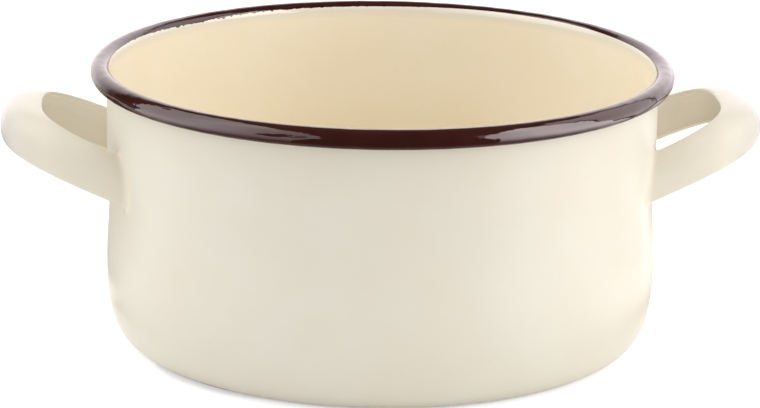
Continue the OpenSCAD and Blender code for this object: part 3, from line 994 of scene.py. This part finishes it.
def add_studio_cards(stage):
    """The studio as the gloss shows it: dark above, a pale wall behind, and a soft box on each side.

    Darker cards in front of the soft boxes are their gaps, a bar, a post and a frame."""
    foot, top = -3, 90
    add_card("front_dome", stage, ((-130, 25, top, 0), (140, 25, top, 0)), 3.4)
    add_card("back_dome", stage, ((128, 15, top, 0.06), (240, 15, top, 0.06)), 3.4)
    add_card("back_glow", stage, (
        (128, foot, 18, 1.8), (133, foot, 28, 1.9), (140, foot, 36, 2.0), (150, foot, 40, 2.1),
        (160, foot, 42, 2.3), (180, foot, 41, 1.9), (210, foot, 37, 1.6), (215, foot, 36, 1.45),
        (220, foot, 35, 1.2), (224, foot, 34, 1.0), (228, foot, 30, 0.6), (232, foot, 25, 0.25),
        (234, foot, 22, 0.15), (238, foot, 18, 0.1)), 3.3, 0.2)
    add_card("front_dark", stage, ((-24, foot, top, 0), (36, foot, top, 0)), 3.2)
    add_card("left_gap", stage, ((-124, foot, 60, 0), (-107, foot, 60, 0)), 3.2)
    add_card("left_softbox", stage, (
        (-137, 45, 49, 1.9), (-129, 42, 57, 2.1), (-120, 37.5, 60, 2.3), (-114, 31, 61, 2.5),
        (-110, 21, 61.5, 2.6), (-108.5, foot, 62, 2.5), (-93, foot, 63, 2.8), (-84, foot, 62.5, 3.1),
        (-78, foot, 62, 3.5), (-70, foot, 60, 3.65), (-63, foot, 58.5, 3.3), (-49, foot, 53, 2.5),
        (-42, foot, 50, 2.0), (-36, foot, 45, 1.9), (-30, foot, 36, 1.6), (-27, foot, 30, 1.7),
        (-24, foot, 19, 1.8), (-22.5, foot, 6, 1.8)))
    add_card("left_notch", stage, (
        (-127, 43.5, 46, 0), (-121, 39.5, 44.5, 0), (-114, 38.5, 42, 0), (-108, 36.5, 37.5, 0)), 2.9)
    add_card("left_bar", stage, (
        (-44.5, foot, 0, 0), (-43, foot, 4, 0), (-40, foot, 12, 0), (-36.5, foot, 16, 0),
        (-33.5, foot, 14, 0)), 2.9)
    add_card("left_post", stage, ((-31.5, foot, 13, 0.45), (-28.5, foot, 9, 0.45)), 2.9)
    add_card("right_softbox", stage, (
        (38.5, foot, 8, 4.8), (40, foot, 16, 4.8), (45, foot, 28, 5.2), (50, foot, 37, 5.4),
        (54, foot, 42, 6.2), (60, foot, 46, 6.8), (66, foot, 49, 7.0), (72, foot, 52, 6.6),
        (79, foot, 53, 6.2), (84, foot, 50, 6.0), (86.5, foot, 46, 6.0), (88, foot, 8, 6.0)))
    add_card("right_gap", stage, ((86, foot, 60, 0), (91, foot, 60, 0)), 3.1)
    add_card("right_wing", stage, (
        (91, foot, 53, 2.2), (97, foot, 53, 2.2), (104, foot, 54, 2.3), (113, foot, 56, 2.2),
        (120, foot, 52, 2.1), (125, foot, 50, 2.1), (127, 13, 49, 2.1), (131, 22, 47, 2.0),
        (136, 31, 44, 1.8), (140, 38, 42, 1.7)))
    add_card("right_frame", stage, (
        (125, foot, 13, 0.3), (127, foot, 20, 0.3), (131, 15, 28, 0.4), (136, 25, 36, 0.6),
        (140, 32, 44, 0.7), (143, 37, 46, 0.8), (150, 36, 43, 0.8)), 3.1)


def add_floor_cards(stage):
    """The floor as the gloss shows it: the soft boxes' light on it, and the darker stretches between."""
    near, far = 0.13, 3.0
    under, fade = 0.001, 0.085
    add_floor_card("front_floor", stage, (
        (-31, near, 0.16, 0), (-29, near, 0.2, 0), (-26, near, 0.35, 0), (-24, near, 1.5, 0),
        (-22, near, far, 0), (38, near, far, 0)))
    add_floor_card("back_floor", stage, (
        (129, 0.16, far, 1.5), (220, 0.16, far, 1.45), (226, 0.16, far, 1.0), (234, 0.16, far, 0.15),
        (237, 0.16, far, 0.1)), under, 0.28)
    add_floor_card("left_gap_floor", stage, (
        (-124, 0.15, far, 0.1), (-108, 0.15, far, 0.1), (-99, 0.15, 0.7, 0.1)))
    add_floor_card("left_floor", stage, (
        (-107, 0.7, far, 2.4), (-98, near, far, 2.7), (-84, near, far, 3.2), (-70, near, far, 3.65),
        (-60, near, far, 3.2), (-49, near, far, 2.5), (-42, near, far, 2.0), (-32, near, far, 1.9),
        (-26, 0.35, far, 1.8), (-22, 2.8, far, 1.8)), under, fade)
    add_floor_card("left_bar_floor", stage, (
        (-44.5, 1.0, far, 0), (-43, 0.5, far, 0), (-40, 0.42, far, 0), (-36.5, 0.38, far, 0),
        (-33.5, 0.4, far, 0), (-32, 0.8, far, 0)))
    add_floor_card("left_post_floor", stage, ((-31.5, 0.5, far, 0.45), (-28.5, 0.5, far, 0.45)))
    add_floor_card("right_floor", stage, (
        (38, near, far, 4.8), (46, near, far, 5.3), (54, near, far, 6.6), (64, near, far, 7.0),
        (72, near, far, 6.6), (88, near, far, 6.0)), fade=fade)
    add_floor_card("right_near_floor", stage, (
        (88, near, 0.28, 5.8), (96, near, 0.245, 5.5), (108, near, 0.205, 4.5), (116, near, 0.24, 3.5),
        (123, near, 0.45, 2.5), (131, near, 2.0, 1.8)), fade=fade)
    add_floor_card("right_frame_floor", stage, (
        (88, 0.28, 0.33, 0), (96, 0.245, 0.285, 0), (108, 0.205, 0.235, 0), (116, 0.24, 0.29, 0),
        (123, 0.45, 0.7, 0), (131, 2.0, far, 0)))
    add_floor_card("right_wing_floor", stage, (
        (88, 0.33, far, 2.3), (96, 0.285, far, 2.3), (108, 0.235, far, 2.1), (116, 0.29, far, 2.0),
        (123, 0.7, far, 1.9), (130, 2.8, far, 1.6)))


def add_camera(stage):
    """The photograph's viewpoint, worked out from the pan's outlines in the picture of 760 by 408 points."""
    picture_w, middle_x, middle_y = 760, 380, 204
    aim_x, aim_y = 380.99, 195.55
    data = bpy.data.cameras.new("camera")
    data.sensor_width = 36
    data.lens = stage.camera_lens
    data.shift_x = (middle_x - aim_x) / picture_w
    data.shift_y = (aim_y - middle_y) / picture_w
    data.clip_start, data.clip_end = 0.01, 100
    camera = bpy.data.objects.new("camera", data)
    bpy.context.scene.collection.objects.link(camera)
    aim = Vector((0, 0, stage.aim_height))
    flat = stage.camera_distance * math.cos(stage.camera_rise)
    back = around_pan(stage, 0, flat, stage.camera_distance * math.sin(stage.camera_rise))
    turn = (-back).to_track_quat("-Z", "Y").to_matrix() @ Matrix.Rotation(stage.camera_roll, 3, "Z")
    camera.matrix_world = Matrix.Translation(aim + back) @ turn.to_4x4()
    bpy.context.scene.camera = camera


# Operators

class SAUCEPAN_OT_inner_coat(bpy.types.Operator):
    """Add the cream coat inside the pan"""

    bl_idname = "saucepan.inner_coat"
    bl_label = "Inner coat"
    bl_options = {"REGISTER", "UNDO"}

    def execute(self, context):
        settings = context.scene.saucepan
        look = settings.enamel
        # The cream turns to a greyer painted shade on the bead's inner shoulder.
        cream = enamel("fired_cream", look, look.cream, look.cream_blush, roughness=0.12, shine=0.5,
                       other=look.shoulder, where=painted_shade_on_shoulder)
        skin = inner_coat_skin(PanShape(settings.pan), settings.band)
        new_piece("inner_coat", skin, cream, "inner_enamel")
        return {"FINISHED"}


class SAUCEPAN_OT_outer_coat(bpy.types.Operator):
    """Add the ivory coat outside the pan"""

    bl_idname = "saucepan.outer_coat"
    bl_label = "Outer coat"
    bl_options = {"REGISTER", "UNDO"}

    def execute(self, context):
        settings = context.scene.saucepan
        look = settings.enamel
        # The ivory takes the ground coat's dark colour in a thin line along a stretch of the foot.
        ivory = enamel("fired_ivory", look, look.ivory, look.ivory_blush, roughness=0.28, shine=0.095,
                       other=look.ground, where=foot_line)
        skin = outer_coat_skin(PanShape(settings.pan), settings.band)
        new_piece("outer_coat", skin, ivory, "outer_enamel")
        return {"FINISHED"}


class SAUCEPAN_OT_rim_band(bpy.types.Operator):
    """Add the brown band on the rolled rim"""

    bl_idname = "saucepan.rim_band"
    bl_label = "Rim band"
    bl_options = {"REGISTER", "UNDO"}

    def execute(self, context):
        settings = context.scene.saucepan
        skin = rim_band_skin(PanShape(settings.pan), settings.band)
        new_piece("rim_band", skin, brown_enamel(settings.enamel), "rim_enamel")
        return {"FINISHED"}


class SAUCEPAN_OT_base_coat(bpy.types.Operator):
    """Add the dark ground coat under the pan"""

    bl_idname = "saucepan.base_coat"
    bl_label = "Base coat"
    bl_options = {"REGISTER", "UNDO"}

    def execute(self, context):
        settings = context.scene.saucepan
        skin = base_coat_skin(PanShape(settings.pan))
        new_piece("base_coat", skin, ground_enamel(settings.enamel), "base_enamel")
        return {"FINISHED"}


class SAUCEPAN_OT_handle_coats(bpy.types.Operator):
    """Add the ivory coats of the two handles"""

    bl_idname = "saucepan.handle_coats"
    bl_label = "Handle coats"
    bl_options = {"REGISTER", "UNDO"}

    def execute(self, context):
        settings = context.scene.saucepan
        look = settings.enamel
        shape = PanShape(settings.pan)
        # The handles' ivory turns to a greyer painted shade at the tips.
        ivory = enamel("fired_handle_ivory", look, look.handle, look.handle, roughness=0.2, shine=0.09,
                       other=look.tip, where=painted_shade_at_tip)
        for side in ("left", "right"):
            skin = handle_coat_skin(shape, settings.handle, side == "left")
            new_piece(f"{side}_handle_coat", skin, ivory, f"{side}_handle_enamel")
        return {"FINISHED"}


class SAUCEPAN_OT_bare_steel(bpy.types.Operator):
    """Give the CAD model's steel pieces their material"""

    bl_idname = "saucepan.bare_steel"
    bl_label = "Bare steel"
    bl_options = {"REGISTER", "UNDO"}

    def execute(self, context):
        steel = bare_steel(context.scene.saucepan.enamel)
        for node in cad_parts.values():
            if not node.hide_render:
                node.data.materials.clear()
                node.data.materials.append(steel)
        return {"FINISHED"}


class SAUCEPAN_OT_stage(bpy.types.Operator):
    """Add the floor, the lights and the camera"""

    bl_idname = "saucepan.stage"
    bl_label = "Stage"
    bl_options = {"REGISTER", "UNDO"}

    def execute(self, context):
        stage = context.scene.saucepan.stage
        add_camera(stage)
        add_floor(stage)
        add_world(stage)
        add_lights(stage)
        add_studio_cards(stage)
        add_floor_cards(stage)
        context.scene.view_settings.view_transform = "Standard"
        return {"FINISHED"}


STEPS = (SAUCEPAN_OT_inner_coat, SAUCEPAN_OT_outer_coat, SAUCEPAN_OT_rim_band, SAUCEPAN_OT_base_coat,
         SAUCEPAN_OT_handle_coats, SAUCEPAN_OT_bare_steel, SAUCEPAN_OT_stage)


class SAUCEPAN_PT_sidebar(bpy.types.Panel):
    """The saucepan's settings and steps"""

    bl_idname = "SAUCEPAN_PT_sidebar"
    bl_label = "Saucepan"
    bl_space_type = "VIEW_3D"
    bl_region_type = "UI"
    bl_category = "Saucepan"

    def draw(self, context):
        settings = context.scene.saucepan
        for group in (settings.pan, settings.band, settings.handle, settings.enamel, settings.stage):
            box = self.layout.box()
            for name in group.__annotations__:
                box.prop(group, name)
        for step in STEPS:
            self.layout.operator(step.bl_idname)


CLASSES = (PanSizes, BandSizes, HandleSizes, EnamelLook, StageLook, SaucepanSettings, *STEPS,
           SAUCEPAN_PT_sidebar)


def register():
    for cls in CLASSES:
        bpy.utils.register_class(cls)
    bpy.types.Scene.saucepan = PointerProperty(type=SaucepanSettings)


def unregister():
    del bpy.types.Scene.saucepan
    for cls in reversed(CLASSES):
        bpy.utils.unregister_class(cls)


def main():
    register()
    for step in STEPS:
        group, name = step.bl_idname.split(".")
        getattr(getattr(bpy.ops, group), name)()


if __name__ == "__main__":
    main()
